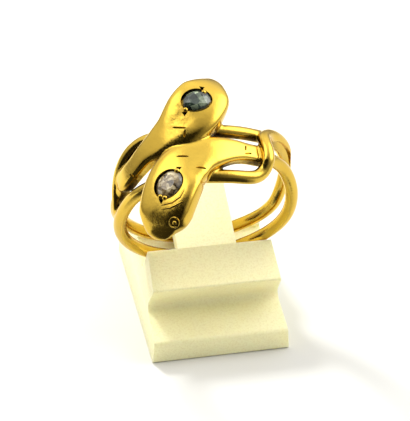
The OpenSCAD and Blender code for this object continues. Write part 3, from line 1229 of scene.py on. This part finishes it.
    def build(self, to_stand: Matrix) -> None:
        """Build and dress the ring.

        Args:
            to_stand: Places what is made round the finger's axis in the stand.
        """
        front, back = self.front, self.back
        ring = self.solder([self.snake("front_snake", front), self.snake("back_snake", back)])
        added = [
            self.ball(route, mark, self.sizes.grain_d / 2, self.grain_sink)
            for route, marks in ((front, self.front_grains), (back, self.back_grains)) for mark in marks
        ]
        added += [self.line(front, points, RAISED) for points in self.brows]
        added += [self.nostril_ring(), self.ball(front, self.nostril, self.dome_r, self.dome_sink)]
        cutters = [stone.cutter() for stone in self.stones]
        cutters += [
            self.notch(route, mark)
            for route, marks in ((front, self.front_cuts), (back, self.back_cuts)) for mark in marks
        ]
        cutters += [
            self.line(route, points, ENGRAVED)
            for route, marks in ((front, self.front_marks), (back, self.back_marks)) for points in marks
        ]
        # The trough takes painted shade from the mask of blocked rays.
        cutters.append(self.line(back, self.painted_shade_trough, TROUGH))
        fitting = [stone.hull(self.stone_gap) for stone in self.stones]
        for operation, meshes in (("DIFFERENCE", cutters), ("UNION", added), ("DIFFERENCE", fitting)):
            tool = new_object("tool", joined("tool", meshes))
            change = ring.modifiers.new(operation.lower(), "BOOLEAN")
            change.operation = operation
            change.solver = "MANIFOLD"
            change.object = tool
            settle(ring)
            drop(tool)
        drop_chips(ring.data)
        gold = PolishedGold().build()
        self.tarnish.run(ring, Rays=self.rays, Reach=self.ray_reach, Finish=gold)
        ring.data.shade_smooth()
        ring.data.set_sharp_from_angle(angle=math.radians(self.sharp_angle))
        ring.data.transform(to_stand)
        finish_piece(ring, gold, "snake_ring")


@dataclass
class DisplayStand:
    """The moulded stand: the CAD solid's own faces, with light that runs softly over the edges.

    The limit on overlap leaves the bevel no width, so the surface stays where it is. Its thin faces only
    soften the light on the faces beside them.
    """

    edge_r: float = 0.22
    edge_angle: float = 30.0
    edge_segments: int = 3
    weld: float = 1e-3
    flat_angle: float = 1.0
    sharp_angle: float = 40.0

    def build(self) -> None:
        """Build and dress the stand."""
        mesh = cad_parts["display_stand"].data.copy()
        mesh.transform(Matrix.Scale(1 / MM, 4))
        with opened(mesh) as work:
            bmesh.ops.remove_doubles(work, verts=work.verts, dist=self.weld)
            bmesh.ops.dissolve_limit(work, angle_limit=math.radians(self.flat_angle), verts=work.verts,
                                     edges=work.edges)
        stand = new_object("display_stand_moulding", mesh)
        bevel = stand.modifiers.new("soft_edges", "BEVEL")
        bevel.width = self.edge_r
        bevel.segments = self.edge_segments
        bevel.limit_method = "ANGLE"
        bevel.angle_limit = math.radians(self.edge_angle)
        bevel.use_clamp_overlap = True
        bevel.harden_normals = False
        settle(stand)
        stand.data.shade_smooth()
        stand.data.set_sharp_from_angle(angle=math.radians(self.sharp_angle))
        finish_piece(stand, MouldedPlastic().build(), "display_stand")


def ease(value: float, start: float, end: float) -> float:
    """Return 0 up to start, 1 from end on, and a smooth rise between."""
    share = min(max((value - start) / (end - start), 0.0), 1.0)
    return share * share * (3 - 2 * share)


def toward(azimuth: float, elevation: float) -> Vector:
    """Return a direction by its angles in degrees, from the front to the right and above the horizon."""
    az, el = math.radians(azimuth), math.radians(elevation)
    return Vector((math.sin(az) * math.cos(el), -math.cos(az) * math.cos(el), math.sin(el)))


@dataclass(frozen=True)
class Panel:
    """One soft bright panel of the light tent, with angles in degrees from the front, to the right."""

    azimuth: float
    elevation: float
    inner: float
    outer: float
    strength: float


@dataclass(frozen=True)
class Studio:
    """Pale floor, soft lights and the camera, with lengths in millimetres and angles in degrees."""

    target: tuple[float, float, float] = (0.0, -6.5, 14.0)
    distance: float = 171.25
    azimuth: float = -13.05
    elevation: float = 32.83
    roll: float = 1.59
    focal_px: float = 1575.0
    shift_px: tuple[float, float] = (7.74, 9.84)
    image_h: int = 421
    sensor: float = 36.0
    room: str = "#AAA8A3"
    panels: tuple = (
        Panel(104, 44, 15, 58, 0.8),
        Panel(92, 42, 4, 34, 2.6),
        Panel(-135, 48, 20, 52, 0.6),
        Panel(-106, 58, 3, 24, 1.6),
        Panel(175, 45, 10, 50, 0.3),
    )
    paper: str = "#DADAD7"
    floor_reach: float = 3000.0
    cloth: str = "#0E0804"
    flag_density: float = 0.99
    flag_reach: tuple[float, float, float, float] = (-96.0, 52.0, -54.0, 78.0)
    flag_steps: tuple[int, int] = (91, 67)
    flag_height: float = 14.5
    flag_far: float = 600.0
    middle: tuple[float, float, float] = (0.0, -5.0, 16.0)
    lamp_way: tuple[float, float] = (-155.0, 42.0)
    lamp_distance: float = 300.0
    lamp_side: float = 70.0
    lamp_watts: float = 0.8

    def camera(self) -> None:
        """Place the camera at the photograph's angle."""
        data = bpy.data.cameras.new("photo_camera")
        data.sensor_width = self.sensor
        data.lens = self.focal_px * self.sensor / self.image_h
        data.shift_x = -self.shift_px[0] / self.image_h
        data.shift_y = self.shift_px[1] / self.image_h
        data.clip_start = 0.01
        back = toward(self.azimuth, self.elevation)
        right = Vector((0.0, 0.0, 1.0)).cross(back).normalized()
        turn = Matrix((right, back.cross(right), back)).transposed().to_4x4()
        camera = new_object("photo_camera", data)
        camera.matrix_world = (
            Matrix.Translation((Vector(self.target) + back * self.distance) * MM)
            @ turn @ Matrix.Rotation(math.radians(self.roll), 4, "Z")
        )
        bpy.context.scene.camera = camera

    def floor(self) -> None:
        """Lay the pale floor under the stand."""
        side, level = self.floor_reach * MM, CAD_BOX[0][2]
        corners = [(-side, -side, level), (side, -side, level), (side, side, level), (-side, side, level)]
        mesh = bpy.data.meshes.new("floor")
        mesh.from_pydata(corners, [], [(0, 1, 2, 3)])
        material, shader, _ = new_material("matt_white_paper")
        feed(shader, {"Base Color": linear(self.paper), "Roughness": 1.0, "Specular IOR Level": 0.0})
        mesh.materials.append(material)
        new_object("floor", mesh)

    def tent(self) -> World:
        """Build the world: a dim room with soft bright panels.

        Returns:
            The world.
        """
        world = bpy.data.worlds.new("light_tent")
        world.use_nodes = True
        add = partial(add_node, world.node_tree)
        way = add("ShaderNodeTexCoord").outputs["Generated"]
        room = add("ShaderNodeRGB")
        room.outputs[0].default_value = linear(self.room)
        light = room
        for panel in self.panels:
            facing = add("ShaderNodeVectorMath", {0: way, 1: toward(panel.azimuth, panel.elevation)},
                         operation="DOT_PRODUCT")
            glow = add("ShaderNodeMapRange",
                       {"Value": facing.outputs["Value"], "From Min": math.cos(math.radians(panel.outer)),
                        "From Max": math.cos(math.radians(panel.inner)), "To Max": panel.strength},
                       interpolation_type="SMOOTHSTEP")
            white = add("ShaderNodeVectorMath", {0: (1.0, 1.0, 1.0), "Scale": glow}, operation="SCALE")
            light = add("ShaderNodeVectorMath", {0: light, 1: white}, operation="ADD")
        feed(world.node_tree.nodes["Background"], {"Color": light})
        return world

    def flag_share(self, azimuth: float, elevation: float) -> float:
        """Work out how dense the flag is in a direction.

        Args:
            azimuth: The direction from the front, to the right.
            elevation: The direction above the horizon.

        Returns:
            0 where there is no cloth, near 1 where it is dense.
        """
        # The left edge leans outwards as it rises, and comes in again near the top.
        left_edge = max(-92.0, min(-82 - 0.3 * elevation, -78)) + 8 * ease(elevation, 48, 60)
        left = ease(azimuth, left_edge - 2, left_edge + 2)
        # The right edge is sharper below the horizon than above it.
        right = 1 - ease(azimuth, 24 - 40 * ease(elevation, -2, 12), 50)
        # The low edge falls towards the right.
        low_edge = max(-42.0, min(-10 - 0.55 * (azimuth + 85), -10))
        low = ease(elevation, low_edge - 10, low_edge + 8)
        return self.flag_density * left * right * low * (1 - ease(elevation, 62, 77))

    def flag(self) -> None:
        """Hang the dark flag at the front, which only reflections see, with soft edges."""
        left, right, low, high = self.flag_reach
        wide, tall = self.flag_steps
        points, fades = [], []
        for elevation in np.linspace(low, high, tall):
            for azimuth in np.linspace(left, right, wide):
                dip = math.sin(max(-math.radians(elevation), 0.01))
                hung = min(self.flag_far, self.flag_height / dip)
                points.append((Vector(self.middle) + toward(azimuth, elevation) * hung) * MM)
                fades.append(self.flag_share(azimuth, elevation))
        faces = [
            (a, a + 1, a + 1 + wide, a + wide)
            for row in range(tall - 1) for a in range(row * wide, row * wide + wide - 1)
        ]
        mesh = bpy.data.meshes.new("dark_flag")
        mesh.from_pydata(points, [], faces)
        mesh.attributes.new("fade", "FLOAT", "POINT").data.foreach_set("value", fades)
        mesh.shade_smooth()
        material, shader, add = new_material("matt_black_cloth")
        feed(shader, {"Base Color": linear(self.cloth), "Roughness": 1.0})
        fade = add("ShaderNodeAttribute", attribute_name="fade").outputs["Fac"]
        mixed = add("ShaderNodeMixShader", {0: fade, 1: add("ShaderNodeBsdfTransparent"), 2: shader})
        feed(material.node_tree.nodes["Material Output"], {"Surface": mixed})
        mesh.materials.append(material)
        flag = new_object("dark_flag", mesh)
        flag.visible_camera = False
        flag.visible_diffuse = False
        flag.visible_shadow = False
        flag.visible_transmission = False

    def lamp(self) -> None:
        """Add the soft key lamp behind the left, which the metal doesn't mirror."""
        data = bpy.data.lights.new("back_left_key", "AREA")
        data.shape = "DISK"
        data.size = self.lamp_side * MM
        data.energy = self.lamp_watts
        away = toward(*self.lamp_way)
        turn = away.to_track_quat("Z", "Y").to_matrix().to_4x4()
        lamp = new_object("back_left_key", data)
        lamp.matrix_world = Matrix.Translation((Vector(self.middle) + away * self.lamp_distance) * MM) @ turn
        lamp.visible_glossy = False

    def build(self) -> None:
        """Set up the whole studio."""
        scene = bpy.context.scene
        scene.view_settings.view_transform = "Standard"
        scene.world = self.tent()
        self.camera()
        self.floor()
        self.flag()
        self.lamp()


def main() -> None:
    """Build the studio, the ring, its stones and the stand."""
    logging.basicConfig(level=logging.INFO, format="%(name)s %(message)s")
    ring, stand = RingSizes(), StandSizes()
    to_stand = (
        Matrix.Translation(stand.ring_middle(ring))
        @ Matrix.Rotation(math.radians(stand.face_slope), 4, "X")
        @ Matrix.Rotation(math.radians(ring.turn), 4, "Y")
    )
    stones = [
        CutStone("front_stone", "pale_stone", Seat(-13, -0.37 * ring.front_reach, 50, 3.2, 2.8),
                 CutGem("cloudy_brown_cut_gem", "#21160A", "#84704C", "#E4D6AC", patch=0.42 * MM,
                        cloudiness=0.55, girdle_shade_start=0.72), ring),
        CutStone("back_stone", "dark_stone", Seat(9, 0.63 * ring.back_reach, 8, 3.1, 2.6),
                 CutGem("dark_teal_cut_gem", "#070C0A", "#2F3D33", "#A9B797", patch=0.55 * MM,
                        cloudiness=0.35, seed=0.004), ring),
    ]
    Studio().build()
    SnakeRing(ring, stones, SweepTree(), TarnishAndShadeTree()).build(to_stand)
    for stone in stones:
        stone.dress(to_stand)
    DisplayStand().build()


if __name__ == "__main__":
    main()
